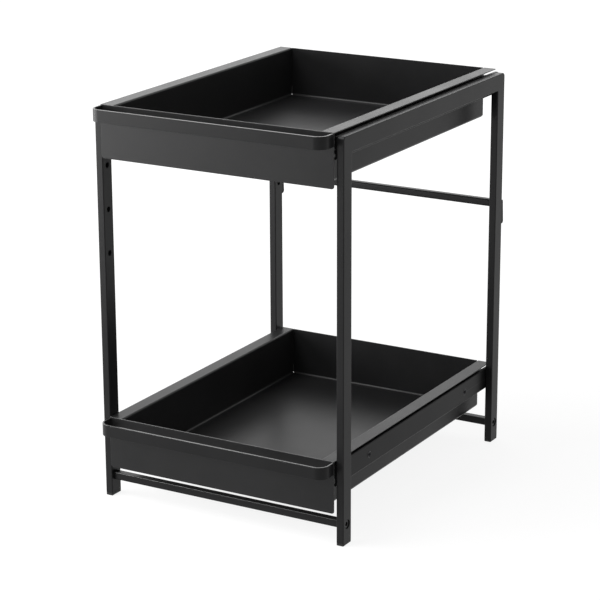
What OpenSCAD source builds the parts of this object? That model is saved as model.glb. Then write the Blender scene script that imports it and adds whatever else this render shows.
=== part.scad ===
// Pull-out organizer for the cupboard under a sink, in millimetres.
// X runs along the width, Y from the front to the back, Z up from the floor.
// The origin is on the floor, under the middle of the whole object's width and depth.
// Inside the modules, y = 0 is the front face of the front legs.

/* [Side frames] */
// Width over the outer faces of the side frames
frame_w = 300; // [280:1:400]
// Depth over the front and rear legs
frame_d = 374; // [374:1:440]
// Height of the side frames, with their feet
frame_h = 438; // [425:1:500]
// Leg tube across the width
tube_x = 8.5; // [8:0.5:10]
// Leg tube along the depth
tube_y = 17; // [16:0.5:18]
// Wall of the tubes
tube_wall = 1.2; // [1:0.1:1.3]
// Radius along the edges of the tubes
tube_r = 1.2; // [0.8:0.1:1.6]
// Height of the top rails
rail_h = 18.5; // [17:0.5:22]
// Radius of the top rails' end corners
rail_corner_r = 4; // [2:0.5:4.5]
// Height of the feet under the tubes
foot_t = 3; // [2:0.5:5]
// Chamfer round the underside of the feet
foot_chamfer = 0.8; // [0.4:0.1:1.2]

/* [Cross bars] */
// Side of the square cross bars
bar_s = 8.5; // [8.5:0.5:10]
// Height of the bottom bars' centre line
bar_z = 22.75; // [18:0.25:25]
// Height of the upper rear bar's centre line
upper_bar_z = 288; // [286:1:300]
// Bare collar of the plugs at the upper bar's ends
collar_l = 2.3; // [1:0.1:4]

/* [Spare bracket holes] */
// Height of the lowest holes
hole_z = 277; // [260:1:277]
// Height from one hole to the next
hole_pitch = 48.5; // [40:0.5:48.5]
// Holes in each leg
hole_count = 3; // [1:1:3]
// Radius of the holes
hole_r = 3; // [2.5:0.1:3.5]

/* [Wall bumpers] */
// Thickness at the foot of a bumper
bumper_t = 5; // [4:0.5:8]
// Height of a bumper
bumper_h = 28; // [20:1:40]
// Width of a bumper
bumper_w = 7.5; // [6:0.5:8]
// Height of the bumpers' middle
bumper_z = 276; // [260:1:280]

/* [Trays] */
// Height of the lower slides' centre line
lower_z = 78; // [76:1:150]
// Height of the front panels
panel_h = 58; // [50:1:60]
// Sheet thickness of the front panels
panel_t = 1.2; // [1:0.1:1.5]
// How far the front panels stand in front of the legs
panel_proud = 3; // [2:0.5:5]
// Radius of the panels' lower corners
panel_r = 3; // [1:0.5:6]
// Height of the rims over the slides' centre line
rim_rise = 16; // [15:0.5:20]
// Gap between the rims and the legs
side_gap = 1.2; // [0.8:0.1:2]
// Sheet thickness of the pans
pan_t = 1; // [0.8:0.1:1.2]
// Height of a pan's underside over its panel's lower edge
pan_lift = 1; // [0.5:0.5:3]
// Distance from a pan's back wall to the rear faces of the rear legs
pan_back = 4; // [4:0.5:12]
// Outer radius of the folds along the floor
floor_bend_r = 3; // [2:0.5:5]
// Outer radius of the folds along the rims
rim_bend_r = 2; // [1.6:0.1:3]

/* [Handles] */
// How far the handles reach in front of the legs
handle_reach = 25; // [22:1:35]
// Height of the handle strips
handle_h = 13.6; // [10:0.2:20]
// Thickness of the handle strips
handle_t = 2; // [1.5:0.1:3]
// Outer radius of the handles' corners
handle_r = 12; // [8:1:16]
// Drop from the rim to the top of a handle
handle_drop = 0.7; // [0.2:0.1:2]

/* [Slides] */
// Height of the brackets
bracket_h = 24; // [24:0.5:25]
// Sheet thickness of the brackets
bracket_t = 1.5; // [1.2:0.1:1.5]
// Width of a bracket's lips
bracket_lip = 4; // [3:0.5:6]
// Length of the runners
slide_l = 344; // [340:1:344]
// Travel of the trays
travel = 250; // [100:5:250]
// Length of the ball cages
cage_l = 88; // [60:1:88]
// Balls in each row of a cage
balls_in_row = 8; // [3:1:12]
// Radius of the balls
ball_r = 1.6; // [1.4:0.05:1.6]
// Distance between the two rivets of a channel
rivet_pitch = 230; // [200:5:280]

/* [Hidden] */
$fn = 48;

// Colours of the finishes
black_coat = "#2d2d2f";
slide_finish = "#3a3b3d";
bare_steel = "#a9abad";
rubber_black = "#1a1a1a";

// Places of the tubes
in_x = frame_w / 2 - tube_x;
leg_x = frame_w / 2 - tube_x / 2;
leg_ys = [tube_y / 2, frame_d - tube_y / 2];
rail_z = frame_h - rail_h;
total_d = handle_reach + frame_d + bumper_t;
y_shift = handle_reach - total_d / 2;
past = 1;

// Places of the slides and the trays
upper_z = frame_h - bracket_h / 2;
face_x = in_x - bracket_t;
slide_room = 14.5;
rim_hw = in_x - side_gap;
pan_hw = face_x - slide_room;
pan_y0 = panel_t - panel_proud;
pan_y1 = frame_d - pan_back;
slide_y0 = (frame_d - slide_l) / 2;
slide_y1 = slide_y0 + slide_l;
cage_front_gap = 3;
cage_y0 = slide_y0 + cage_front_gap + travel / 2;
rivet_ys = [frame_d / 2 - rivet_pitch / 2, frame_d / 2 + rivet_pitch / 2];

// Cross bar bolts, their nuts and the bushes in the legs
bolt_r = 2.45;
bolt_hole_r = 2.6;
tapped_r = 2.5;
head_r = 4.6;
head_t = 3;
head_hole_r = 5;
hex_r = 2.6;
hex_depth = 1.8;
bolt_in_bar = 12;
bush_r = 4.2;
bush_x = in_x + tube_wall + 3.7;
fit_gap = 0.1;
plug_s = bar_s - 2 * tube_wall - fit_gap;
nut_l = 16;
plug_stem = 14;
plug_step = 0.6;
spigot_l = 5;

// Feet and wall bumpers
foot_stem = 10;
stud_r = 2.4;
stud_l = 4;
bumper_foot_r = 3;
bumper_top_r = 2;
bumper_taper = 1.5;

// Bracket bolts, their threaded inserts and the rivets
bracket_head_r = 4;
bracket_head_t = 2.6;
bracket_bolt_l = 5.5;
insert_r = 3.5;
insert_l = 4.5;
rivet_r = 2.2;
rivet_head_r = 3.75;
rivet_foot_r = 3.2;
rivet_foot_t = 0.7;
rivet_dimple_r = 1.5;
rivet_dimple_t = 0.5;

// Section of the slides, measured inward from the bracket and up from the centre line
web_t = 1.2;
ball_gap = 0.3;
race_z = 7;
ball_u = 6.8;
channel_hh = 10;
channel_u = 11;
channel_lip_z = 7;
channel_race_z = race_z + ball_r + ball_gap;
runner_u = 3.2;
runner_race_z = race_z - ball_r - ball_gap;
runner_lip_z = 6.3;
cage_t = 0.5;
cage_u = 2.3;
cage_reach = 9;
cage_z = 7.3;
cage_lip_z = 6.7;
ball_hole_r = ball_r + 0.15;
window_w = 16;
window_h = 7;
stop_gap = 0.3;
stop_w = 9;
stop_h = 8;
lug_u = 2.6;
lug_w = 1.6;

// Points of an arc of radius r about c, from angle a0 to a1
function arc(c, r, a0, a1, n = 6) =
    [for (i = [0:n]) let (a = a0 + (a1 - a0) * i / n) c + r * [cos(a), sin(a)]];

// Rectangle of w by d about the origin, with round corners
function rounded(w, d, r) = concat(
    arc([w / 2 - r, d / 2 - r], r, 0, 90),
    arc([r - w / 2, d / 2 - r], r, 90, 180),
    arc([r - w / 2, r - d / 2], r, 180, 270),
    arc([w / 2 - r, r - d / 2], r, 270, 360));

// Outline p followed by its mirror image below the first axis
function both_halves(p) = concat(p, [for (i = [len(p) - 1:-1:0]) [p[i].x, -p[i].y]]);

function reversed(p) = [for (i = [len(p) - 1:-1:0]) p[i]];

// Point u inward from the right brackets' inner faces and z over a slide's centre line
function at(u, z) = [face_x - u, z];

module placed() {
    translate([0, y_shift, 0]) children();
}

// Children as they are on the right, or mirrored to the left
module on_side(side) {
    if (side < 0) mirror([1, 0, 0]) children();
    else children();
}

module rod_x(x0, x1, r, y, z) {
    translate([x0, y, z]) rotate([0, 90, 0]) cylinder(h = x1 - x0, r = r);
}

module rod_y(x, y0, y1, r, z) {
    translate([x, y0, z]) rotate([-90, 0, 0]) cylinder(h = y1 - y0, r = r);
}

// Outline in X and Z, drawn out along Y
module run_y(y0, y1) {
    translate([0, y1, 0]) rotate([90, 0, 0]) linear_extrude(y1 - y0) children();
}

// Outline in Y and Z, drawn out along X
module run_x(x0, x1) {
    translate([x0, 0, 0]) rotate([90, 0, 90]) linear_extrude(x1 - x0) children();
}

// Square bar of side s along X, with its centre line at y and z
module block(x0, x1, s, y, z) {
    translate([x0, y - s / 2, z - s / 2]) cube([x1 - x0, s, s]);
}

// Rectangular tube of length l about the Z axis
module tube(w, d, l) {
    linear_extrude(l) difference() {
        polygon(rounded(w, d, tube_r));
        square([w - 2 * tube_wall, d - 2 * tube_wall], center = true);
    }
}

// Leg of the right side frame with its bush, its bracket hole and its spare holes
module leg(side, y) {
    rear = y > frame_d / 2;
    color(black_coat) placed() on_side(side) difference() {
        union() {
            translate([leg_x, y, foot_t]) tube(tube_x, tube_y, rail_z - foot_t);
            rod_x(in_x + tube_wall / 2, bush_x, bush_r, y, bar_z);
        }
        rod_x(in_x - past, bush_x + past, bolt_hole_r, y, bar_z);
        rod_x(bush_x, frame_w / 2 + past, head_hole_r, y, bar_z);
        rod_x(in_x - past, in_x + tube_wall + past, bolt_hole_r, y, lower_z);
        for (i = [0:hole_count - 1])
            rod_x(in_x - past, in_x + tube_wall + past, hole_r, y, hole_z + i * hole_pitch);
        if (rear) {
            rod_y(leg_x, frame_d - 2 * tube_wall, frame_d + past, stud_r + fit_gap, bumper_z);
            block(in_x - past, in_x + tube_wall + past, plug_s + 2 * fit_gap, y, upper_bar_z);
        }
    }
}

// Top rail with round end corners, closed ends and a vent into each leg
module top_rail(side) {
    r = rail_corner_r;
    color(black_coat) placed() on_side(side) difference() {
        intersection() {
            translate([0, 0, rail_z]) run_x(in_x - past, frame_w / 2 + past)
                polygon(concat([[0, 0], [frame_d, 0]],
                    arc([frame_d - r, rail_h - r], r, 0, 90, 10),
                    arc([r, rail_h - r], r, 90, 180, 10)));
            translate([leg_x, 0, rail_z + rail_h / 2]) run_y(-past, frame_d + past)
                polygon(rounded(tube_x, rail_h, tube_r));
        }
        translate([in_x + tube_wall, r, rail_z + tube_wall])
            cube([tube_x - 2 * tube_wall, frame_d - 2 * r, rail_h - 2 * tube_wall]);
        for (y = leg_ys) {
            translate([leg_x, y, rail_z - past]) cylinder(h = tube_wall + 2 * past, r = 2);
            rod_x(in_x - past, in_x + tube_wall + past, bolt_hole_r, y, upper_z);
        }
    }
}

// Square tube across the frame, from -half to half
module cross_bar(y, z, half) {
    color(black_coat) placed() translate([-half, y, z]) rotate([0, 90, 0]) tube(bar_s, bar_s, 2 * half);
}

// Foot plug with a chamfered pad and a hollow stem inside the leg
module foot(side, y) {
    w = tube_x / 2;
    d = tube_y / 2;
    c = foot_chamfer;
    stem_w = tube_x - 2 * tube_wall - 2 * fit_gap;
    stem_d = tube_y - 2 * tube_wall - 2 * fit_gap;
    color(rubber_black) placed() on_side(side) translate([leg_x, y, 0]) {
        intersection() {
            linear_extrude(foot_t) polygon(rounded(tube_x, tube_y, tube_r));
            run_y(-d - past, d + past) polygon([[c - w, 0], [w - c, 0], [w, c], [w, foot_t], [-w, foot_t], [-w, c]]);
            run_x(-w - past, w + past) polygon([[c - d, 0], [d - c, 0], [d, c], [d, foot_t], [-d, foot_t], [-d, c]]);
        }
        translate([0, 0, foot_t]) linear_extrude(foot_stem) difference() {
            square([stem_w, stem_d], center = true);
            square([stem_w - 2 * tube_wall, stem_d - 2 * tube_wall], center = true);
        }
    }
}

// Rubber bumper, thicker at its foot, with a stud through the leg's rear wall
module wall_bumper(side) {
    top = bumper_h / 2;
    color(rubber_black) placed() on_side(side) {
        translate([0, frame_d, bumper_z]) run_x(leg_x - bumper_w / 2, leg_x + bumper_w / 2)
            polygon(concat([[0, -top]],
                arc([bumper_t - bumper_foot_r, bumper_foot_r - top], bumper_foot_r, -90, 0),
                arc([bumper_t - bumper_taper - bumper_top_r, top - bumper_top_r], bumper_top_r, 0, 90),
                [[0, top]]));
        rod_y(leg_x, frame_d - stud_l, frame_d + past, stud_r, bumper_z);
    }
}

// Bolts with hexagon sockets that hold the bottom bars, sunk in the legs' outer faces
module cross_bar_bolts() {
    color(black_coat) placed() for (side = [-1, 1], y = leg_ys) on_side(side) difference() {
        union() {
            rod_x(bush_x, bush_x + head_t, head_r, y, bar_z);
            rod_x(in_x - bolt_in_bar, bush_x + past, bolt_r, y, bar_z);
        }
        translate([bush_x + head_t - hex_depth, y, bar_z]) rotate([0, 90, 0])
            cylinder(h = hex_depth + past, r = hex_r, $fn = 6);
    }
}

// Threaded blocks in the ends of the bottom bars
module cross_bar_nuts() {
    color(bare_steel) placed() for (side = [-1, 1], y = leg_ys) on_side(side) difference() {
        block(in_x - nut_l, in_x, plug_s, y, bar_z);
        rod_x(in_x - nut_l - past, in_x + past, tapped_r, y, bar_z);
    }
}

// Plugs of the upper rear bar: a stem in the bar, a bare collar and a spigot in the leg
module upper_bar_plugs() {
    bar_end = in_x - collar_l;
    color(black_coat) placed() for (side = [-1, 1]) on_side(side) {
        block(bar_end - plug_stem, bar_end, plug_s, leg_ys[1], upper_bar_z);
        block(bar_end, in_x, bar_s - 2 * plug_step, leg_ys[1], upper_bar_z);
        block(in_x, in_x + spigot_l, plug_s, leg_ys[1], upper_bar_z);
    }
}

// Runner bracket: a folded channel the full depth of the frame
module bracket(side, z) {
    h = bracket_h / 2;
    color(black_coat) placed() on_side(side) difference() {
        translate([0, 0, z]) run_y(0, frame_d) polygon(both_halves(concat(
            arc([in_x - 1, h - 1], 1, 0, 90, 4),
            [[in_x - bracket_lip, h], [in_x - bracket_lip, h - bracket_t], [face_x, h - bracket_t]])));
        for (y = leg_ys) rod_x(face_x - past, in_x + past, bolt_hole_r, y, z);
        for (y = rivet_ys) rivet_hole(y, z);
    }
}

// Countersunk hole for a rivet, from the bracket's outer face inward
module rivet_hole(y, z) {
    slope = (rivet_head_r - rivet_r) / bracket_t;
    translate([0, y, z]) rotate([0, 90, 0]) {
        translate([0, 0, face_x - 2 * web_t]) cylinder(h = 3 * web_t, r = rivet_r);
        translate([0, 0, face_x])
            cylinder(h = bracket_t + past, r1 = rivet_r, r2 = rivet_head_r + slope * past);
    }
}

// Flush rivets that hold the channels to the brackets
module channel_rivets() {
    foot_x = face_x - web_t;
    color(bare_steel) placed() for (side = [-1, 1], z = [upper_z, lower_z], y = rivet_ys)
        on_side(side) translate([0, y, z]) rotate([0, 90, 0]) rotate_extrude() polygon([
            [0, foot_x - rivet_foot_t], [rivet_foot_r, foot_x - rivet_foot_t], [rivet_foot_r, foot_x],
            [rivet_r, foot_x], [rivet_r, face_x], [rivet_head_r, in_x],
            [rivet_dimple_r, in_x], [rivet_dimple_r, in_x - rivet_dimple_t], [0, in_x - rivet_dimple_t]]);
}

// Button-head bolts that hold the brackets to the frame
module bracket_bolts() {
    color(black_coat) placed() for (side = [-1, 1], z = [upper_z, lower_z], y = leg_ys)
        on_side(side) difference() {
            union() {
                rod_x(face_x - bracket_head_t, face_x, bracket_head_r, y, z);
                rod_x(face_x - past, in_x + bracket_bolt_l, bolt_r, y, z);
            }
            translate([face_x - bracket_head_t - past, y, z]) rotate([0, 90, 0])
                cylinder(h = past + hex_depth, r = hex_r - 0.5, $fn = 6);
        }
}

// Threaded inserts behind the inner walls of the frame
module bracket_nuts() {
    x0 = in_x + tube_wall;
    color(bare_steel) placed() for (side = [-1, 1], z = [upper_z, lower_z], y = leg_ys)
        on_side(side) difference() {
            rod_x(x0, x0 + insert_l, insert_r, y, z);
            rod_x(x0 - past, x0 + insert_l + past, tapped_r, y, z);
        }
}

// Outer channel of a slide with its ball races, its rear stop and its front cage lug
module channel(side, z) {
    color(slide_finish) placed() on_side(side) difference() {
        union() {
            translate([0, 0, z]) run_y(slide_y0, slide_y1 + stop_gap + web_t) polygon(both_halves([
                at(0, channel_hh), at(channel_u, channel_hh), at(channel_u, channel_lip_z),
                at(channel_u - web_t, channel_lip_z), at(channel_u - web_t, channel_race_z),
                at(web_t, channel_race_z)]));
            translate([face_x - stop_w, slide_y1 + stop_gap, z - stop_h / 2]) cube([stop_w, web_t, stop_h]);
            translate([face_x - lug_u, slide_y0 + 0.5, z - 3]) cube([lug_u - web_t / 2, lug_w, 6]);
        }
        for (y = rivet_ys) rod_x(face_x - web_t - past, face_x + past, rivet_r, y, z);
    }
}

// Inner runner of a slide, welded along the side of its pan
module runner(side, z) {
    color(slide_finish) placed() on_side(side) translate([0, 0, z]) run_y(slide_y0, slide_y1)
        polygon(both_halves([
            at(slide_room, runner_race_z), at(runner_u + web_t, runner_race_z),
            at(runner_u + web_t, runner_lip_z), at(runner_u, runner_lip_z),
            at(runner_u, runner_race_z - web_t), at(slide_room - web_t, runner_race_z - web_t)]));
}

// Place of ball i along a cage
function ball_y(i) = cage_y0 + (i + 0.5) * cage_l / balls_in_row;

// Ball cage: a thin channel with a hole for each ball and windows in its web
module cage(side, z) {
    color(bare_steel) placed() on_side(side) translate([0, 0, z]) difference() {
        run_y(cage_y0, cage_y0 + cage_l) polygon(both_halves([
            at(cage_u, cage_z), at(cage_reach, cage_z), at(cage_reach, cage_lip_z),
            at(cage_u + cage_t, cage_lip_z)]));
        for (i = [0:balls_in_row - 1])
            translate([face_x - ball_u, ball_y(i), -cage_z - past]) cylinder(h = 2 * cage_z + 2 * past, r = ball_hole_r);
        for (i = [0:2])
            translate([face_x - cage_u - cage_t - past, cage_y0 + (i + 0.5) * cage_l / 3 - window_w / 2, -window_h / 2])
                cube([cage_t + 2 * past, window_w, window_h]);
    }
}

// The two rows of balls in a cage
module balls(side, z) {
    color(bare_steel) placed() on_side(side) for (i = [0:balls_in_row - 1], row = [-race_z, race_z])
        translate([face_x - ball_u, ball_y(i), z + row]) sphere(r = ball_r);
}

// Block with folds along its sides and its rear edge, inset from the outside of a pan
module tub(bottom, top, inset) {
    hw = pan_hw - inset;
    y1 = pan_y1 - inset;
    r = floor_bend_r - inset;
    front = inset > 0 ? pan_y0 - past : pan_y0;
    intersection() {
        run_y(front, y1) polygon(concat(
            arc([r - hw, bottom + r], r, 180, 270), arc([hw - r, bottom + r], r, 270, 360),
            [[hw, top], [-hw, top]]));
        run_x(-hw - past, hw + past) polygon(concat([[front, bottom]],
            arc([y1 - r, bottom + r], r, 270, 360), [[y1, top], [front, top]]));
    }
}

// Pan of folded sheet: floor, side walls, back wall and a flange along each side
module pan(z) {
    rim = z + rim_rise;
    bottom = rim - panel_h + pan_lift;
    wall_top = rim - rim_bend_r;
    bend = [pan_hw - pan_t + rim_bend_r, wall_top];
    color(black_coat) placed() {
        difference() {
            tub(bottom, wall_top, 0);
            tub(bottom + pan_t, rim, pan_t);
        }
        for (side = [-1, 1]) on_side(side) run_y(pan_y0, pan_y1) polygon(concat(
            arc(bend, rim_bend_r, 180, 90),
            [[rim_hw, rim], [rim_hw, rim - pan_t]],
            arc(bend, rim_bend_r - pan_t, 90, 180)));
        translate([pan_t - pan_hw, pan_y1 - pan_t, wall_top]) cube([2 * (pan_hw - pan_t), pan_t, rim_bend_r]);
    }
}

// Front panel with round lower corners
module front_panel(z) {
    hw = rim_hw;
    r = panel_r;
    color(black_coat) placed() translate([0, 0, z + rim_rise - panel_h])
        run_y(-panel_proud, panel_t - panel_proud) polygon(concat(
            arc([r - hw, r], r, 180, 270), arc([hw - r, r], r, 270, 360), [[hw, panel_h], [-hw, panel_h]]));
}

// Edge of a handle seen from above, inset from its outer face
function handle_edge(inset) =
    let (hw = rim_hw - inset, y = inset - handle_reach, r = handle_r - inset)
    concat([[-hw, -panel_proud]], arc([r - hw, y + r], r, 180, 270, 14),
        arc([hw - r, y + r], r, 270, 360, 14), [[hw, -panel_proud]]);

// Strip handle with returns to the panel's two ends
module handle(z) {
    color(black_coat) placed() translate([0, 0, z + rim_rise - handle_drop - handle_h])
        linear_extrude(handle_h) polygon(concat(handle_edge(0), reversed(handle_edge(handle_t))));
}

leg(-1, leg_ys[0]);  // front_left_leg
leg(1, leg_ys[0]);  // front_right_leg
leg(-1, leg_ys[1]);  // rear_left_leg
leg(1, leg_ys[1]);  // rear_right_leg
top_rail(-1);  // left_top_rail
top_rail(1);  // right_top_rail
cross_bar(leg_ys[0], bar_z, in_x);  // front_cross_bar
cross_bar(leg_ys[1], bar_z, in_x);  // rear_cross_bar
cross_bar(leg_ys[1], upper_bar_z, in_x - collar_l);  // upper_rear_cross_bar
foot(-1, leg_ys[0]);  // front_left_foot
foot(1, leg_ys[0]);  // front_right_foot
foot(-1, leg_ys[1]);  // rear_left_foot
foot(1, leg_ys[1]);  // rear_right_foot
wall_bumper(-1);  // left_wall_bumper
wall_bumper(1);  // right_wall_bumper
cross_bar_bolts();
cross_bar_nuts();
upper_bar_plugs();
bracket(-1, upper_z);  // upper_left_bracket
bracket(1, upper_z);  // upper_right_bracket
bracket(-1, lower_z);  // lower_left_bracket
bracket(1, lower_z);  // lower_right_bracket
bracket_bolts();
bracket_nuts();
channel_rivets();
channel(-1, upper_z);  // upper_left_channel
channel(1, upper_z);  // upper_right_channel
channel(-1, lower_z);  // lower_left_channel
channel(1, lower_z);  // lower_right_channel
runner(-1, upper_z);  // upper_left_runner
runner(1, upper_z);  // upper_right_runner
runner(-1, lower_z);  // lower_left_runner
runner(1, lower_z);  // lower_right_runner
cage(-1, upper_z);  // upper_left_cage
cage(1, upper_z);  // upper_right_cage
cage(-1, lower_z);  // lower_left_cage
cage(1, lower_z);  // lower_right_cage
balls(-1, upper_z);  // upper_left_balls
balls(1, upper_z);  // upper_right_balls
balls(-1, lower_z);  // lower_left_balls
balls(1, lower_z);  // lower_right_balls
pan(upper_z);  // upper_pan
pan(lower_z);  // lower_pan
front_panel(upper_z);  // upper_front_panel
front_panel(lower_z);  // lower_front_panel
handle(upper_z);  // upper_handle
handle(lower_z);  // lower_handle
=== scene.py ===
import math

import bmesh
import bpy
from mathutils import Matrix, Vector


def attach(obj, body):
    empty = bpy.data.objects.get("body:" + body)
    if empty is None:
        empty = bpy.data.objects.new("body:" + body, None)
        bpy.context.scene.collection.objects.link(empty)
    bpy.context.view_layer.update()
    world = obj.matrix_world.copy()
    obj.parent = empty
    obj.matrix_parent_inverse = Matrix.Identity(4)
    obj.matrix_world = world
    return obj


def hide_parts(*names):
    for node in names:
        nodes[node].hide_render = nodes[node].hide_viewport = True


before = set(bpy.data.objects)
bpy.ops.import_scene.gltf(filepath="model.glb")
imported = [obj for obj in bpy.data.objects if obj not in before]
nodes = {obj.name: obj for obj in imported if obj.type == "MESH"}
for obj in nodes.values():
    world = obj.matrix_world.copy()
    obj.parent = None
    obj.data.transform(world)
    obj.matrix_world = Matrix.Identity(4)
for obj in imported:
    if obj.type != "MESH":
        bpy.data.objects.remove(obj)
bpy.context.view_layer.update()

MM = 0.001
SIDES = (-1, 1)
HANDS = ((-1, "left"), (1, "right"))

# Sizes of the rack in millimetres, as its tubes and sheets are cut.
FRAME_W, FRAME_D, FRAME_H = 300.0, 374.0, 438.0
TUBE_X, TUBE_Y, TUBE_WALL, TUBE_R = 8.5, 17.0, 1.2, 1.2
RAIL_H, RAIL_CORNER_R, WELD_FILLET_R, FOOT_T = 18.5, 4.0, 1.0, 3.0
FRONT_Y = -177.0
REAR_Y = FRONT_Y + FRAME_D
OUT_X = FRAME_W / 2
IN_X = OUT_X - TUBE_X
LEG_YS = (FRONT_Y + TUBE_Y / 2, REAR_Y - TUBE_Y / 2)
BAR_S, BAR_Z, BAR_R = 8.5, 22.75, 0.9
UPPER_BAR_Z, UPPER_BAR_R, COLLAR_L = 288.0, 2.0, 2.3
HOLE_ZS, HOLE_R, HOLE_DEPTH, DRILL_CLEAR = (277.0, 325.5, 374.0), 3.0, 4.5, 1.0
SLIDE_ZS = {"upper": 426.0, "lower": 78.0}
RIM_RISE, RIM_HW, PANEL_H, PANEL_PROUD = 16.0, 140.3, 58.0, 3.0
HANDLE_REACH, HANDLE_H, HANDLE_T, HANDLE_DROP = 25.0, 13.6, 2.0, 0.7
HANDLE_CORNER_R, HANDLE_EDGE_R = 12.0, 0.3
BRACKET_T = 1.5
FACE_X = IN_X - BRACKET_T
BALL_U, RACE_Z, BALL_R, ROW_BALLS = 6.8, 7.0, 1.6, 8
CAGE_L, CAGE_Y0 = 88.0, FRONT_Y + 143.0
RIVET_YS = (FRONT_Y + 72.0, FRONT_Y + 302.0)
BUSH_L, BOLT_SEAT_R, SHANK_R = 3.7, 5.0, 2.45
BOLT_HEAD_X = IN_X + TUBE_WALL + BUSH_L
PAN_HW, PAN_T, PAN_Y1, PAN_LIFT = 125.5, 1.0, FRONT_Y + 370.0, 1.0
RELIEF_R, RELIEF_RISE, SEAM_INSET = 0.5, 0.4, 0.2

# Turned profiles as (radius, x) pairs in millimetres.
RIVET_PROFILE = [(0, -3.4), (2.9, -3.4), (3.2, -3.1), (3.2, -2.7), (2.2, -2.7), (2.2, -1.5),
                 (3.72, -0.02), (3.7, 0.2), (3.5, 0.34), (3.15, 0.34), (2.95, 0.2), (2.85, -0.5),
                 (2.65, -0.7), (2.35, -0.3), (1.95, -0.3), (1.75, -0.5), (1.6, -1.5), (0, -1.6)]
SEAM_PROFILE = [(0, 1.2), (0.5, 1.3), (0.45, 3.0), (0.38, 7.0), (0.2, 10.0), (0, 10.3)]
RELIEF_PROFILE = [(0, -1.5), (RELIEF_R, -1.5), (RELIEF_R, 5.0), (0, 5.0)]
RELIEF_WAY = (1.0, 1.0, -0.5)

# Cut edges: the attribute that marks them for a painted highlight, the widest face that counts as one, and how
# strong the painted highlight is on each kind of face.
PAINTED_HIGHLIGHT_ATTR, CUT_EDGE_T = "painted_highlight", 1.35
FOLD_SHEEN, BRACKET_SHEEN, BAR_SHEEN, HANDLE_SHEEN, SEAM_SHEEN = 0.3, 0.25, 0.8, 1.0, 0.8


# ---------------------------------------------------------------- materials
CLOUD_DETAIL, CLOUD_ROUGHNESS = 4.0, 0.6
SPECKLE_DETAIL, SPECKLE_SHARE = 2.0, 0.4
NOISE_LOW, NOISE_HIGH = 0.3, 0.7
GRAIN_HEIGHT = 0.0002


def finish(name, tint, roughness, metallic=0.0, specular=0.5, shade=0.18, cloud=9.0, grain=1500.0,
           depth=0.05, rough_swing=0.06, stretch=(1.0, 1.0, 1.0), painted_highlight_tone=0.0):
    """A surface whose tone, sheen and fine relief follow the piece, read from its own coordinates.

    With a highlight tone, the faces under the mark are painted lighter and made metallic: a painted highlight.
    """
    mat = bpy.data.materials.new(name)
    mat.use_nodes = True
    tree = mat.node_tree
    add, link = tree.nodes.new, tree.links.new
    shader = tree.nodes["Principled BSDF"]
    shader.inputs["Metallic"].default_value = metallic
    shader.inputs["Specular IOR Level"].default_value = specular
    place = add("ShaderNodeTexCoord")
    along = add("ShaderNodeMapping")
    along.inputs["Scale"].default_value = stretch
    link(place.outputs["Object"], along.inputs["Vector"])

    clouds = add("ShaderNodeTexNoise")
    clouds.inputs["Scale"].default_value = cloud
    clouds.inputs["Detail"].default_value = CLOUD_DETAIL
    clouds.inputs["Roughness"].default_value = CLOUD_ROUGHNESS
    link(along.outputs["Vector"], clouds.inputs["Vector"])
    speckle = add("ShaderNodeTexNoise")
    speckle.inputs["Scale"].default_value = grain
    speckle.inputs["Detail"].default_value = SPECKLE_DETAIL
    link(along.outputs["Vector"], speckle.inputs["Vector"])

    both = add("ShaderNodeMix")
    both.data_type = "FLOAT"
    both.inputs["Factor"].default_value = SPECKLE_SHARE
    link(clouds.outputs["Fac"], both.inputs["A"])
    link(speckle.outputs["Fac"], both.inputs["B"])
    tones = add("ShaderNodeValToRGB")
    low, high = tones.color_ramp.elements
    low.position, high.position = NOISE_LOW, NOISE_HIGH
    low.color = [c * (1 - shade) for c in tint] + [1]
    high.color = [min(1, c * (1 + shade)) for c in tint] + [1]
    link(both.outputs["Result"], tones.inputs["Fac"])
    link(tones.outputs["Color"], shader.inputs["Base Color"])
    # Painted highlight: the marked faces take a lighter colour and a metallic sheen.
    if painted_highlight_tone:
        highlight_share = add("ShaderNodeAttribute")
        highlight_share.attribute_name = PAINTED_HIGHLIGHT_ATTR
        link(highlight_share.outputs["Fac"], shader.inputs["Metallic"])
        painted_highlight_tint = add("ShaderNodeMix")
        painted_highlight_tint.data_type = "RGBA"
        painted_highlight_tint.inputs["B"].default_value = (painted_highlight_tone, painted_highlight_tone, painted_highlight_tone, 1)
        link(highlight_share.outputs["Fac"], painted_highlight_tint.inputs["Factor"])
        link(tones.outputs["Color"], painted_highlight_tint.inputs["A"])
        link(painted_highlight_tint.outputs["Result"], shader.inputs["Base Color"])

    sheen = add("ShaderNodeMapRange")
    sheen.inputs["From Min"].default_value, sheen.inputs["From Max"].default_value = NOISE_LOW, NOISE_HIGH
    sheen.inputs["To Min"].default_value = roughness - rough_swing
    sheen.inputs["To Max"].default_value = roughness + rough_swing
    link(clouds.outputs["Fac"], sheen.inputs["Value"])
    link(sheen.outputs["Result"], shader.inputs["Roughness"])

    relief = add("ShaderNodeBump")
    relief.inputs["Strength"].default_value = depth
    relief.inputs["Distance"].default_value = GRAIN_HEIGHT
    link(speckle.outputs["Fac"], relief.inputs["Height"])
    link(relief.outputs["Normal"], shader.inputs["Normal"])
    return mat


def powder_coat(name, tint, roughness, specular):
    """A black coat baked on sheet or tube, with a painted highlight on its marked faces."""
    return finish(name, tint, roughness, specular=specular, depth=0.10, cloud=14.0, rough_swing=0.03,
                  painted_highlight_tone=0.10)


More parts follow.
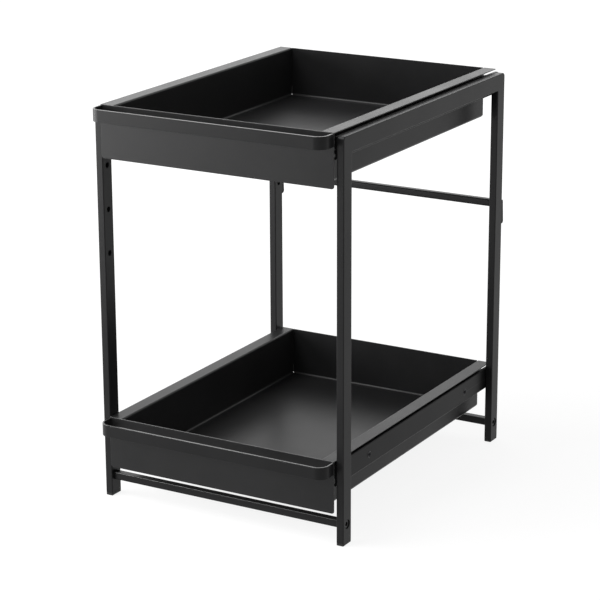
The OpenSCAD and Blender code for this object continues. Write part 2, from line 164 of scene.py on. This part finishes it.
COAT = powder_coat("powder_coat_black", (0.013, 0.013, 0.0134), 0.35, 0.13)
# Lit and shaded copies of the black coat: lighter on the front panels as painted light, darker on the brackets
# as painted shade in their recess behind the legs.
PANEL_COAT_PAINTED_LIGHT = powder_coat("front_panel_black_painted_light", (0.0180, 0.0180, 0.0184), 0.37, 0.16)
BRACKET_COAT_PAINTED_SHADE = powder_coat("bracket_black_painted_shade", (0.0100, 0.0100, 0.0103), 0.35, 0.08)
PLATED = finish("dark_plated_slide", (0.040, 0.041, 0.044), 0.32, metallic=0.55, stretch=(1, 0.03, 1),
                grain=2200.0, depth=0.04)
CAGE_STEEL = finish("zinc_sheet", (0.42, 0.42, 0.43), 0.33, metallic=1.0, stretch=(1, 0.05, 1), grain=1800.0)
BALL_STEEL = finish("polished_ball", (0.72, 0.72, 0.73), 0.12, metallic=1.0, depth=0.01, rough_swing=0.03)
BLACK_OXIDE = finish("black_oxide", (0.010, 0.010, 0.011), 0.30, metallic=0.2, specular=0.3, grain=2600.0,
                     depth=0.08)
INSERT_STEEL = finish("zinc_insert", (0.40, 0.40, 0.40), 0.38, metallic=1.0, grain=2400.0)
RIVET_STEEL = finish("dark_rivet", (0.020, 0.020, 0.022), 0.26, metallic=0.4, grain=2600.0, depth=0.06)
FOOT_PLASTIC = finish("moulded_foot", (0.012, 0.012, 0.012), 0.50, specular=0.25, grain=1900.0, depth=0.16)
BUMPER_RUBBER = finish("moulded_rubber", (0.015, 0.015, 0.015), 0.70, specular=0.3, grain=900.0, depth=0.2)


# ---------------------------------------------------------------- building helpers
DOUBLES_APART, FLAT_DEG, SQUARE_ON = 2e-6, 0.4, 0.999
LEVEL_WITHIN, FOOT_WITHIN = 1e-6, 0.01


def smooth(mesh, sharp_deg=32):
    """Shades a mesh round, with its sharp edges kept."""
    mesh.polygons.foreach_set("use_smooth", [True] * len(mesh.polygons))
    mesh.set_sharp_from_angle(angle=math.radians(sharp_deg))
    return mesh


def linked(name, mesh):
    """Puts a mesh in the scene."""
    obj = bpy.data.objects.new(name, mesh)
    bpy.context.scene.collection.objects.link(obj)
    return obj


def as_mesh(bm, name):
    """Closes a mesh under construction."""
    mesh = bpy.data.meshes.new(name)
    bm.to_mesh(mesh)
    bm.free()
    return mesh


def joined(name, meshes):
    """One mesh of several."""
    bm = bmesh.new()
    for mesh in meshes:
        bm.from_mesh(mesh)
    return as_mesh(bm, name)


def settle(obj, material, body, stands_for=()):
    """Gives a finished piece its material, its body and the parts that it stands for."""
    obj.data.materials.clear()
    obj.data.materials.append(material)
    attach(obj, body)
    if stands_for:
        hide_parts(*stands_for)


def plain_mesh(obj):
    """Leaves a piece as the plain mesh that its modifiers make of it."""
    bpy.context.view_layer.update()
    plain = bpy.data.meshes.new_from_object(obj.evaluated_get(bpy.context.evaluated_depsgraph_get()))
    obj.modifiers.clear()
    obj.data = plain
    return obj


def even_normals(obj):
    """Keeps the flats flat beside their rounded edges."""
    even = obj.modifiers.new("even", "WEIGHTED_NORMAL")
    even.keep_sharp = True
    return plain_mesh(obj)


def cut_away(piece, bits):
    """Cuts a mesh of drill bits out of a piece."""
    cutter = linked("bits", bits)
    cut = piece.modifiers.new("holes", "BOOLEAN")
    cut.object = cutter
    cut.solver = "EXACT"
    plain_mesh(piece)
    bpy.data.objects.remove(cutter)


def bevelled(obj, width_mm, segments, angle_deg, bits=None):
    """Eases a piece's edges, and then drills it where it has bits."""
    edge = obj.modifiers.new("edge", "BEVEL")
    edge.width = width_mm * MM
    edge.segments = segments
    edge.limit_method = "ANGLE"
    edge.angle_limit = math.radians(angle_deg)
    edge.use_clamp_overlap = True
    edge.miter_outer = "MITER_ARC"
    if bits:
        plain_mesh(obj)
        cut_away(obj, bits)
    even_normals(obj)


def softened(node, material, body, width_mm=0.3, segments=3, sharp_deg=38, edge_sheen=1.0, bits=None):
    """A part's own form with its doubles merged and its flats made whole.

    Its cut edges are marked for a painted highlight, and all its edges eased.
    """
    bm = bmesh.new()
    bm.from_mesh(nodes[node].data)
    bmesh.ops.remove_doubles(bm, verts=bm.verts, dist=DOUBLES_APART)
    bmesh.ops.dissolve_limit(bm, angle_limit=math.radians(FLAT_DEG), verts=bm.verts, edges=bm.edges)
    # Painted highlight: narrow faces are marked, the square-on ones fully and the slanted fold faces less.
    highlight_share = bm.faces.layers.float.new(PAINTED_HIGHLIGHT_ATTR)
    for face in bm.faces:
        around = sum(e.calc_length() for e in face.edges)
        if 2 * face.calc_area() < around * CUT_EDGE_T * MM:
            flat = max(abs(c) for c in face.normal) > SQUARE_ON
            face[highlight_share] = edge_sheen * (1.0 if flat else FOLD_SHEEN)
    piece = linked(node + "_eased", smooth(as_mesh(bm, node + "_eased"), sharp_deg))
    bevelled(piece, width_mm, segments, angle_deg=sharp_deg, bits=bits)
    settle(piece, material, body, (node,))


def circle(bm, r, x, steps):
    """A ring of points about the X axis, or its one point where the radius is 0."""
    if r == 0:
        return [bm.verts.new((x * MM, 0, 0))]
    return [bm.verts.new((x * MM, r * MM * math.cos(t), r * MM * math.sin(t)))
            for t in (2 * math.pi * i / steps for i in range(steps))]


def lathed(name, profile, steps):
    """A solid turned about +X from (radius, x) pairs in millimetres, its ends closed at the axis."""
    bm = bmesh.new()
    rings = [circle(bm, r, x, steps) for r, x in profile]
    for a, b in zip(rings, rings[1:]):
        for i in range(steps):
            j = (i + 1) % steps
            quad = [a[i % len(a)], a[j % len(a)], b[j % len(b)], b[i % len(b)]]
            quad = [v for k, v in enumerate(quad) if v not in quad[:k]]
            if len(quad) > 2:
                bm.faces.new(quad)
    bmesh.ops.recalc_face_normals(bm, faces=bm.faces)
    return as_mesh(bm, name)


# ---------------------------------------------------------------- node trees for what repeats or follows a path
BEND_STEPS, EASE_STEPS = 16, 5
# Normals rising past these get the painted highlight: rounds from the first, tops from the second.
ROUND_FROM, TOP_FROM = 0.2, 0.9


def new_tree(name, inputs):
    """A node tree with a path in, a mesh out and named inputs for its sizes."""
    tree = bpy.data.node_groups.new(name, "GeometryNodeTree")
    tree.interface.new_socket("Geometry", in_out="INPUT", socket_type="NodeSocketGeometry")
    for label, kind, value in inputs:
        socket = tree.interface.new_socket(label, in_out="INPUT", socket_type=kind)
        if value is not None:
            socket.default_value = value
    tree.interface.new_socket("Geometry", in_out="OUTPUT", socket_type="NodeSocketGeometry")
    return tree, tree.nodes.new("NodeGroupInput"), tree.nodes.new("NodeGroupOutput")


def close_tree(tree, ins, out, geometry):
    """Ends a tree in plain geometry with its material set."""
    add, link = tree.nodes.new, tree.links.new
    real = add("GeometryNodeRealizeInstances")
    link(geometry, real.inputs["Geometry"])
    paint = add("GeometryNodeSetMaterial")
    link(real.outputs["Geometry"], paint.inputs["Geometry"])
    link(ins.outputs["Material"], paint.inputs["Material"])
    link(paint.outputs["Geometry"], out.inputs["Geometry"])
    return tree


def grown(name, tree, points, edges, values):
    """Runs a node tree on a path of points in millimetres and keeps the plain mesh that it makes."""
    path = bpy.data.meshes.new(name + "_path")
    path.from_pydata([Vector(p) * MM for p in points], edges, [])
    seed = linked(name + "_seed", path)
    run = seed.modifiers.new("grow", "NODES")
    run.node_group = tree
    for item in tree.interface.items_tree:
        if item.item_type == "SOCKET" and item.in_out == "INPUT" and item.name in values:
            run[item.identifier] = values[item.name]
    made = plain_mesh(seed).data
    bpy.data.objects.remove(seed)
    made.name = name
    return even_normals(linked(name, smooth(made)))


def strip_tree():
    """A rectangular strip or tube with eased edges that follows a path and rounds its corners."""
    tree, ins, out = new_tree("strip_along_path", [
        ("Corner Radius", "NodeSocketFloat", 0.0), ("Thickness", "NodeSocketFloat", 0.002),
        ("Height", "NodeSocketFloat", 0.01), ("Edge Radius", "NodeSocketFloat", 0.0005),
        ("Edge Sheen", "NodeSocketFloat", 0.0), ("Corner Sheen", "NodeSocketFloat", 0.0),
        ("Material", "NodeSocketMaterial", None)])
    add, link = tree.nodes.new, tree.links.new

    def test(value, operation, limit):
        """1 on the faces whose value passes, and 0 on the others."""
        node = add("FunctionNodeCompare")
        node.operation = operation
        node.inputs["B"].default_value = limit
        link(value, node.inputs["A"])
        return node.outputs["Result"]

    def reckon(operation, a, b):
        """One sum or product of two sockets."""
        node = add("ShaderNodeMath")
        node.operation = operation
        link(a, node.inputs[0])
        link(b, node.inputs[1])
        return node.outputs["Value"]

    path = add("GeometryNodeMeshToCurve")
    link(ins.outputs["Geometry"], path.inputs["Mesh"])
    bend = add("GeometryNodeFilletCurve")
    bend.mode = "POLY"
    bend.inputs["Count"].default_value = BEND_STEPS
    link(path.outputs["Curve"], bend.inputs["Curve"])
    link(ins.outputs["Corner Radius"], bend.inputs["Radius"])
    upright = add("GeometryNodeSetCurveNormal")
    upright.mode = "Z_UP"
    link(bend.outputs["Curve"], upright.inputs["Curve"])
    section = add("GeometryNodeCurvePrimitiveQuadrilateral")
    link(ins.outputs["Thickness"], section.inputs["Width"])
    link(ins.outputs["Height"], section.inputs["Height"])
    ease = add("GeometryNodeFilletCurve")
    ease.mode = "POLY"
    ease.inputs["Count"].default_value = EASE_STEPS
    link(section.outputs["Curve"], ease.inputs["Curve"])
    link(ins.outputs["Edge Radius"], ease.inputs["Radius"])
    sweep = add("GeometryNodeCurveToMesh")
    sweep.inputs["Fill Caps"].default_value = True
    link(upright.outputs["Curve"], sweep.inputs["Curve"])
    link(ease.outputs["Curve"], sweep.inputs["Profile Curve"])

    # Painted highlight: the top face carries the edge sheen and the upward rounds beside it the corner sheen,
    # while downward faces stay unmarked, as if lit from above.
    facing = add("GeometryNodeInputNormal")
    parts = add("ShaderNodeSeparateXYZ")
    link(facing.outputs["Normal"], parts.inputs["Vector"])
    rise = parts.outputs["Z"]
    top = test(rise, "GREATER_THAN", TOP_FROM)
    rounds = reckon("MULTIPLY", test(rise, "GREATER_THAN", ROUND_FROM), test(rise, "LESS_THAN", TOP_FROM))
    sheen = reckon("ADD", reckon("MULTIPLY", top, ins.outputs["Edge Sheen"]),
                   reckon("MULTIPLY", rounds, ins.outputs["Corner Sheen"]))
    mark = add("GeometryNodeStoreNamedAttribute")
    mark.data_type = "FLOAT"
    mark.domain = "FACE"
    mark.inputs["Name"].default_value = PAINTED_HIGHLIGHT_ATTR
    link(sweep.outputs["Mesh"], mark.inputs["Geometry"])
    link(sheen, mark.inputs["Value"])
    return close_tree(tree, ins, out, mark.outputs["Geometry"])


def repeat_tree():
    """One small piece at every point of the path, given a half turn on the left side of the rack."""
    tree, ins, out = new_tree("piece_at_each_point", [
        ("Piece", "NodeSocketObject", None), ("Size", "NodeSocketFloat", 1.0),
        ("Material", "NodeSocketMaterial", None)])
    add, link = tree.nodes.new, tree.links.new
    points = add("GeometryNodeMeshToPoints")
    link(ins.outputs["Geometry"], points.inputs["Mesh"])
    piece = add("GeometryNodeObjectInfo")
    link(ins.outputs["Piece"], piece.inputs["Object"])
    where = add("GeometryNodeInputPosition")
    split = add("ShaderNodeSeparateXYZ")
    link(where.outputs["Position"], split.inputs["Vector"])
    left = add("FunctionNodeCompare")
    left.operation = "LESS_THAN"
    link(split.outputs["X"], left.inputs["A"])
    half_turn = add("ShaderNodeMath")
    half_turn.operation = "MULTIPLY"
    half_turn.inputs[1].default_value = math.pi
    link(left.outputs["Result"], half_turn.inputs[0])
    turn = add("ShaderNodeCombineXYZ")
    link(half_turn.outputs["Value"], turn.inputs["Z"])
    spread = add("GeometryNodeInstanceOnPoints")
    link(points.outputs["Points"], spread.inputs["Points"])
    link(piece.outputs["Geometry"], spread.inputs["Instance"])
    link(turn.outputs["Vector"], spread.inputs["Rotation"])
    link(ins.outputs["Size"], spread.inputs["Scale"])
    return close_tree(tree, ins, out, spread.outputs["Instances"])


STRIP = strip_tree()
REPEAT = repeat_tree()


def strip(name, points, corner_r, thick, height, edge_r, edge_sheen, corner_sheen):
    """A coated strip or bar along a path of points."""
    edges = [(i, i + 1) for i in range(len(points) - 1)]
    return grown(name, STRIP, points, edges, {
        "Corner Radius": corner_r * MM, "Thickness": thick * MM, "Height": height * MM,
        "Edge Radius": edge_r * MM, "Edge Sheen": edge_sheen, "Corner Sheen": corner_sheen,
        "Material": COAT})


def at_each(name, piece_mesh, points, material):
    """One small piece at each of the points, all in one mesh."""
    maker = linked(name + "_one", piece_mesh)
    made = grown(name, REPEAT, points, [], {"Piece": maker, "Size": 1.0, "Material": material})
    bpy.data.objects.remove(maker)
    return made


# ---------------------------------------------------------------- side frames
FILLET_STEPS, CORNER_STEPS, TUBE_STEPS, BIT_STEPS = 4, 8, 5, 32


def arc(cy, cz, r, a0, a1, steps):
    """Points of an arc in the side view, from angle a0 to a1 in degrees."""
    return [(cy + r * math.cos(math.radians(a0 + (a1 - a0) * i / steps)),
             cz + r * math.sin(math.radians(a0 + (a1 - a0) * i / steps))) for i in range(steps + 1)]


def drill_bit(side, x0, x1, r, y, z):
    """A bit from x0 to x1 in the right side frame, or its mirror image in the left one."""
    bit = lathed("bit", [(0, x0), (r, x0), (r, x1), (0, x1)], BIT_STEPS)
    bit.transform(Matrix.Translation((0, y * MM, z * MM)))
    if side < 0:
        bit.transform(Matrix.Scale(-1, 4, (1, 0, 0)))
        bit.flip_normals()
    return bit


def side_frame(side, word):
    """Two legs and the top rail, welded and ground flush, with the holes drilled in their walls."""
    under, corner, fillet = FRAME_H - RAIL_H, RAIL_CORNER_R, WELD_FILLET_R
    outline = [(FRONT_Y, FOOT_T), (FRONT_Y + TUBE_Y, FOOT_T)]
    outline += arc(FRONT_Y + TUBE_Y + fillet, under - fillet, fillet, 180, 90, FILLET_STEPS)
    outline += arc(REAR_Y - TUBE_Y - fillet, under - fillet, fillet, 90, 0, FILLET_STEPS)
    outline += [(REAR_Y - TUBE_Y, FOOT_T), (REAR_Y, FOOT_T)]
    outline += arc(REAR_Y - corner, FRAME_H - corner, corner, 0, 90, CORNER_STEPS)
    outline += arc(FRONT_Y + corner, FRAME_H - corner, corner, 90, 180, CORNER_STEPS)
    bm = bmesh.new()
    inner, outer = [[bm.verts.new((side * x * MM, y * MM, z * MM)) for y, z in outline] for x in (IN_X, OUT_X)]
    bm.faces.new(inner)
    bm.faces.new(outer)
    for i in range(len(outline)):
        j = (i + 1) % len(outline)
        bm.faces.new((inner[i], inner[j], outer[j], outer[i]))
    bmesh.ops.recalc_face_normals(bm, faces=bm.faces)
    above_foot = (FOOT_T + FOOT_WITHIN) * MM
    long_edges = []
    for edge in bm.edges:
        a, b = (v.co for v in edge.verts)
        if abs(a.x - b.x) < LEVEL_WITHIN and max(a.z, b.z) >= above_foot:
            long_edges.append(edge)
    bmesh.ops.bevel(bm, geom=long_edges, offset=TUBE_R * MM, segments=TUBE_STEPS, profile=0.5,
                    affect="EDGES", clamp_overlap=True, miter_outer="ARC")
    name = word + "_side_frame"
    piece = linked(name, as_mesh(bm, name))
    bits = []
    for y in LEG_YS:
        for z in HOLE_ZS:
            bits.append(drill_bit(side, IN_X - DRILL_CLEAR, IN_X + HOLE_DEPTH, HOLE_R, y, z))
        bits.append(drill_bit(side, BOLT_HEAD_X, OUT_X + DRILL_CLEAR, BOLT_SEAT_R, y, BAR_Z))
    cut_away(piece, joined("bits", bits))
    smooth(piece.data, sharp_deg=40)
    bevelled(piece, width_mm=0.25, segments=2, angle_deg=60)
    settle(piece, COAT, "frame",
           ("front_%s_leg" % word, "rear_%s_leg" % word, "%s_top_rail" % word))


for side, word in HANDS:
    side_frame(side, word)


# ---------------------------------------------------------------- cross bars, feet and bumpers
def cross_bar(node, y, z, reach, edge_r, corner_sheen):
    """A square tube that reaches as far to the left as to the right."""
    bar = strip(node + "_tube", [(-reach, y, z), (reach, y, z)], 0.0, BAR_S, BAR_S, edge_r, 0.0, corner_sheen)
    settle(bar, COAT, "frame", (node,))


cross_bar("front_cross_bar", LEG_YS[0], BAR_Z, IN_X, BAR_R, BAR_SHEEN)
cross_bar("rear_cross_bar", LEG_YS[1], BAR_Z, IN_X, BAR_R, BAR_SHEEN)
cross_bar("upper_rear_cross_bar", LEG_YS[1], UPPER_BAR_Z, IN_X - COLLAR_L, UPPER_BAR_R, 0.0)
softened("upper_bar_plugs", COAT, "frame", width_mm=0.35)
for word in ("front_left", "front_right", "rear_left", "rear_right"):
    softened(word + "_foot", FOOT_PLASTIC, "frame", width_mm=0.35)
for word in ("left", "right"):
    softened(word + "_wall_bumper", BUMPER_RUBBER, "frame", width_mm=0.6, segments=4)


# ---------------------------------------------------------------- bolts, rivets and inserts
HEAD_STEPS, RIVET_STEPS = 48, 40
HEAD_EASE, HEAD_EASE_DEGS = 0.45, (0, 22, 45, 68, 90)
CROWN_R_SHARE, CHAMFER_R_SHARE, CHAMFER_DEPTH = 0.8, 1.12, 0.2


def hexagon(bm, r, x):
    """A hexagon about the X axis, with as many points as the rings of the head."""
    steps = HEAD_STEPS // 6
    points = []
    for i in range(HEAD_STEPS):
        flat, along = divmod(i, steps)
        along /= steps
        a, b = math.radians(60 * flat), math.radians(60 * (flat + 1))
        points.append(bm.verts.new((x * MM, r * MM * ((1 - along) * math.cos(a) + along * math.cos(b)),
                                    r * MM * ((1 - along) * math.sin(a) + along * math.sin(b)))))
    return points


def socket_head(name, head_r, head_t, key_r, key_depth, shank_l, dome=0.0):
    """A bolt along +X: rounded head with a hexagon socket, and a plain shank behind it."""
    bm = bmesh.new()
    loops = [circle(bm, r, x, HEAD_STEPS) for r, x in ((SHANK_R, -shank_l), (SHANK_R, 0), (head_r, 0))]
    for t in (math.radians(a) for a in HEAD_EASE_DEGS):
        loops.append(circle(bm, head_r - HEAD_EASE + HEAD_EASE * math.cos(t),
                            head_t - dome - HEAD_EASE + HEAD_EASE * math.sin(t), HEAD_STEPS))
    loops += [circle(bm, head_r * CROWN_R_SHARE, head_t - dome * 0.5, HEAD_STEPS),
              hexagon(bm, key_r * CHAMFER_R_SHARE, head_t), hexagon(bm, key_r, head_t - CHAMFER_DEPTH),
              hexagon(bm, key_r, head_t - key_depth)]
    for a, b in zip(loops, loops[1:]):
        for i in range(HEAD_STEPS):
            j = (i + 1) % HEAD_STEPS
            bm.faces.new((a[i], a[j], b[j], b[i]))
    bm.faces.new(loops[0])
    bm.faces.new(loops[-1])
    bmesh.ops.recalc_face_normals(bm, faces=bm.faces)
    return as_mesh(bm, name)


bolt = socket_head("cross_bolt", head_r=4.3, head_t=2.6, key_r=2.6, key_depth=1.7, shank_l=16.9)
bolts = at_each("cross_bar_socket_bolts", bolt,
                [(side * BOLT_HEAD_X, y, BAR_Z) for side in SIDES for y in LEG_YS], BLACK_OXIDE)
settle(bolts, BLACK_OXIDE, "frame", ("cross_bar_bolts",))

# The bracket bolts look inward, so the one piece is turned half round.
button = socket_head("button_bolt", head_r=4.0, head_t=2.6, key_r=2.1, key_depth=1.8, shank_l=7.0, dome=0.9)
button.transform(Matrix.Rotation(math.pi, 4, "Z"))
buttons = at_each("bracket_button_bolts", button,
                  [(side * FACE_X, y, z) for side in SIDES for y in LEG_YS for z in SLIDE_ZS.values()],
                  BLACK_OXIDE)
settle(buttons, BLACK_OXIDE, "frame", ("bracket_bolts",))

rivets = at_each("flush_channel_rivets", lathed("flush_rivet", RIVET_PROFILE, RIVET_STEPS),
                 [(side * IN_X, y, z) for side in SIDES for y in RIVET_YS for z in SLIDE_ZS.values()],
                 RIVET_STEEL)
settle(rivets, RIVET_STEEL, "frame", ("channel_rivets",))
softened("cross_bar_nuts", INSERT_STEEL, "frame", width_mm=0.2)
softened("bracket_nuts", INSERT_STEEL, "frame", width_mm=0.2)


# ---------------------------------------------------------------- slides
def ball_rows(word, level, side):
    """Two rows of balls in their cage, each ball at its own hole."""
    pitch = CAGE_L / ROW_BALLS
    x, mid = side * (FACE_X - BALL_U), SLIDE_ZS[level]
    points = [(x, CAGE_Y0 + (i + 0.5) * pitch, mid + row)
              for i in range(ROW_BALLS) for row in (-RACE_Z, RACE_Z)]
    bm = bmesh.new()
    bmesh.ops.create_icosphere(bm, subdivisions=3, radius=BALL_R * MM)
    balls = at_each(word + "_bearing_balls", as_mesh(bm, "ball"), points, BALL_STEEL)
    settle(balls, BALL_STEEL, word + "_ball_cage", (word + "_balls",))


for level in SLIDE_ZS:
    for side, hand in HANDS:
        word = level + "_" + hand
        softened(word + "_bracket", BRACKET_COAT_PAINTED_SHADE, "frame", width_mm=0.4,
                 edge_sheen=BRACKET_SHEEN)
        softened(word + "_channel", PLATED, "frame", width_mm=0.25)
        softened(word + "_runner", PLATED, level + "_tray", width_mm=0.25)
        softened(word + "_cage", CAGE_STEEL, word + "_ball_cage", width_mm=0.12, segments=2)
        ball_rows(word, level, side)


# ---------------------------------------------------------------- trays
SEAM_STEPS, RELIEF_STEPS = 16, 24


def corner_seam():
    """The short weld seam that runs up a pan's rear corner from the relief hole, carrying a painted highlight.
    """
    seam = lathed("seam", SEAM_PROFILE, SEAM_STEPS)
    seam.transform(Matrix.Rotation(-math.pi / 2, 4, "Y"))
    # Painted highlight over the whole seam.
    mark = seam.attributes.new(PAINTED_HIGHLIGHT_ATTR, "FLOAT", "FACE")
    mark.data.foreach_set("value", [SEAM_SHEEN] * len(seam.polygons))
    return seam


def relief_bits(floor_top):
    """Drill bits for the small hole in each rear corner of a pan, where three folds meet."""
    bits = []
    for side in SIDES:
        bit = lathed("bit", RELIEF_PROFILE, RELIEF_STEPS)
        out = Vector(RELIEF_WAY).normalized()
        out.x *= side
        corner = Vector((side * (PAN_HW - PAN_T), PAN_Y1 - PAN_T, floor_top + RELIEF_RISE)) * MM
        turn = Vector((1, 0, 0)).rotation_difference(out).to_matrix().to_4x4()
        bit.transform(Matrix.Translation(corner) @ turn)
        bits.append(bit)
    return joined("relief_bits", bits)


def strip_handle(level, z):
    """A strip bent round at both corners, with its two returns ending at the panel."""
    mid = z + RIM_RISE - HANDLE_DROP - HANDLE_H / 2
    half_t = HANDLE_T / 2
    hw, back, front = RIM_HW - half_t, FRONT_Y - PANEL_PROUD, FRONT_Y - HANDLE_REACH + half_t
    path = [(-hw, back, mid), (-hw, front, mid), (hw, front, mid), (hw, back, mid)]
    return strip(level + "_strip_handle", path, HANDLE_CORNER_R - half_t, HANDLE_T, HANDLE_H, HANDLE_EDGE_R,
                 HANDLE_SHEEN, HANDLE_SHEEN)


for level, z in SLIDE_ZS.items():
    body = level + "_tray"
    floor_top = z + RIM_RISE - PANEL_H + PAN_LIFT + PAN_T
    softened(level + "_pan", COAT, body, width_mm=0.3, bits=relief_bits(floor_top))
    softened(level + "_front_panel", PANEL_COAT_PAINTED_LIGHT, body, width_mm=0.45, segments=4)
    inset = PAN_T + SEAM_INSET
    seams = at_each(level + "_corner_seams", corner_seam(),
                    [(side * (PAN_HW - inset), PAN_Y1 - inset, floor_top) for side in SIDES], COAT)
    settle(seams, COAT, body)
    settle(strip_handle(level, z), COAT, body, (level + "_handle",))


# ---------------------------------------------------------------- camera
# Its place in metres, counted from the rack's front, its angles in degrees and its lens in picture pixels.
CAMERA_X, CAMERA_AHEAD, CAMERA_Z = 1.21194, 1.92205, 0.93859
CAMERA_YAW, CAMERA_PITCH, CAMERA_ROLL = 30.0736, 16.9357, -0.2464
LENS_PX, PICTURE_PX, SENSOR_MM = 2272.74, 600.0, 36.0
CLIP_NEAR, CLIP_FAR = 0.05, 50.0


def camera():
    """The photograph's viewpoint."""
    yaw, pitch, roll = (math.radians(a) for a in (CAMERA_YAW, CAMERA_PITCH, CAMERA_ROLL))
    look = Vector((-math.sin(yaw) * math.cos(pitch), math.cos(yaw) * math.cos(pitch), -math.sin(pitch)))
    right = Vector((math.cos(yaw), math.sin(yaw), 0))
    up = right.cross(look)
    rolled_right = math.cos(roll) * right + math.sin(roll) * up
    rolled_up = -math.sin(roll) * right + math.cos(roll) * up
    data = bpy.data.cameras.new("camera")
    data.sensor_width = SENSOR_MM
    data.lens = LENS_PX * SENSOR_MM / PICTURE_PX
    data.clip_start, data.clip_end = CLIP_NEAR, CLIP_FAR
    cam = linked("camera", data)
    turn = Matrix((rolled_right, rolled_up, -look)).transposed().to_4x4()
    cam.matrix_world = Matrix.Translation((CAMERA_X, FRONT_Y * MM - CAMERA_AHEAD, CAMERA_Z)) @ turn
    bpy.context.scene.camera = cam


camera()


# ---------------------------------------------------------------- floor, room and lights
FLOOR_HALF, FLOOR_TONE, FLOOR_GLOW = 6.0, 0.16, 0.872
GLOW_NEAR, GLOW_FAR = 0.6, 1.5
ROOM_LIGHT = 0.5


def seen_or_mirrored(tree):
    """1 on rays from the camera, from a reflection or through a clear body, and 0 on the light's own."""
    ray = tree.nodes.new("ShaderNodeLightPath")
    result = ray.outputs["Is Camera Ray"]
    for name in ("Is Glossy Ray", "Is Transmission Ray"):
        either = tree.nodes.new("ShaderNodeMath")
        either.operation = "MAXIMUM"
        tree.links.new(result, either.inputs[0])
        tree.links.new(ray.outputs[name], either.inputs[1])
        result = either.outputs["Value"]
    return result


def floor_sheet():
    """A pale floor, white at a distance, that keeps the rack's soft shadow and is clear from below."""
    bm = bmesh.new()
    bmesh.ops.create_grid(bm, x_segments=2, y_segments=2, size=FLOOR_HALF)
    sheet = linked("floor", as_mesh(bm, "floor"))
    mat = bpy.data.materials.new("floor_white")
    mat.use_nodes = True
    tree = mat.node_tree
    tree.nodes.clear()
    add, link = tree.nodes.new, tree.links.new
    out = add("ShaderNodeOutputMaterial")
    matt = add("ShaderNodeBsdfDiffuse")
    matt.inputs["Color"].default_value = (FLOOR_TONE, FLOOR_TONE, FLOOR_TONE, 1)
    glow = add("ShaderNodeEmission")
    glow.inputs["Color"].default_value = (1, 1, 1, 1)
    here = add("ShaderNodeTexCoord")
    far = add("ShaderNodeVectorMath")
    far.operation = "LENGTH"
    link(here.outputs["Object"], far.inputs[0])
    rise = add("ShaderNodeMapRange")
    rise.inputs["From Min"].default_value, rise.inputs["From Max"].default_value = GLOW_NEAR, GLOW_FAR
    rise.inputs["To Min"].default_value, rise.inputs["To Max"].default_value = FLOOR_GLOW, 1.0
    link(far.outputs["Value"], rise.inputs["Value"])
    lift = add("ShaderNodeMath")
    lift.operation = "MULTIPLY"
    link(rise.outputs["Result"], lift.inputs[0])
    link(seen_or_mirrored(tree), lift.inputs[1])
    link(lift.outputs["Value"], glow.inputs["Strength"])
    both = add("ShaderNodeAddShader")
    link(matt.outputs["BSDF"], both.inputs[0])
    link(glow.outputs["Emission"], both.inputs[1])
    face = add("ShaderNodeNewGeometry")
    clear = add("ShaderNodeBsdfTransparent")
    pick = add("ShaderNodeMixShader")
    link(face.outputs["Backfacing"], pick.inputs["Fac"])
    link(both.outputs["Shader"], pick.inputs[1])
    link(clear.outputs["BSDF"], pick.inputs[2])
    link(pick.outputs["Shader"], out.inputs["Surface"])
    sheet.data.materials.append(mat)


def room():
    """An even room, which shows white."""
    world = bpy.data.worlds.new("studio")
    world.use_nodes = True
    bpy.context.scene.world = world
    tree = world.node_tree
    back = tree.nodes["Background"]
    back.inputs["Color"].default_value = (1, 1, 1, 1)
    level = tree.nodes.new("ShaderNodeMapRange")
    level.inputs["To Min"].default_value = ROOM_LIGHT
    level.inputs["To Max"].default_value = 1.0
    tree.links.new(seen_or_mirrored(tree), level.inputs["Value"])
    tree.links.new(level.outputs["Result"], back.inputs["Strength"])


def soft_light(name, place, size, level, aim=(0.0, 0.0, 0.25)):
    """A softbox of an even brightness, turned to the rack and out of the camera's sight."""
    data = bpy.data.lights.new(name, "AREA")
    data.shape = "RECTANGLE"
    data.size, data.size_y = size
    data.energy = level * math.pi * size[0] * size[1]
    lamp = linked(name, data)
    lamp.location = place
    lamp.rotation_mode = "QUATERNION"
    lamp.rotation_quaternion = (Vector(place) - Vector(aim)).to_track_quat("Z", "Y")
    lamp.visible_camera = False


floor_sheet()
room()
soft_light("overhead", place=(-0.7, -0.7, 1.7), size=(1.2, 1.2), level=5.5)
soft_light("rear_top", place=(-0.9, 1.7, 1.3), size=(1.8, 1.2), level=1.4)
soft_light("low_left", place=(-1.2, -0.75, 0.42), size=(1.5, 0.78), level=8.0, aim=(-0.1, -0.18, 0.38))

view = bpy.context.scene.view_settings
view.view_transform = "Standard"
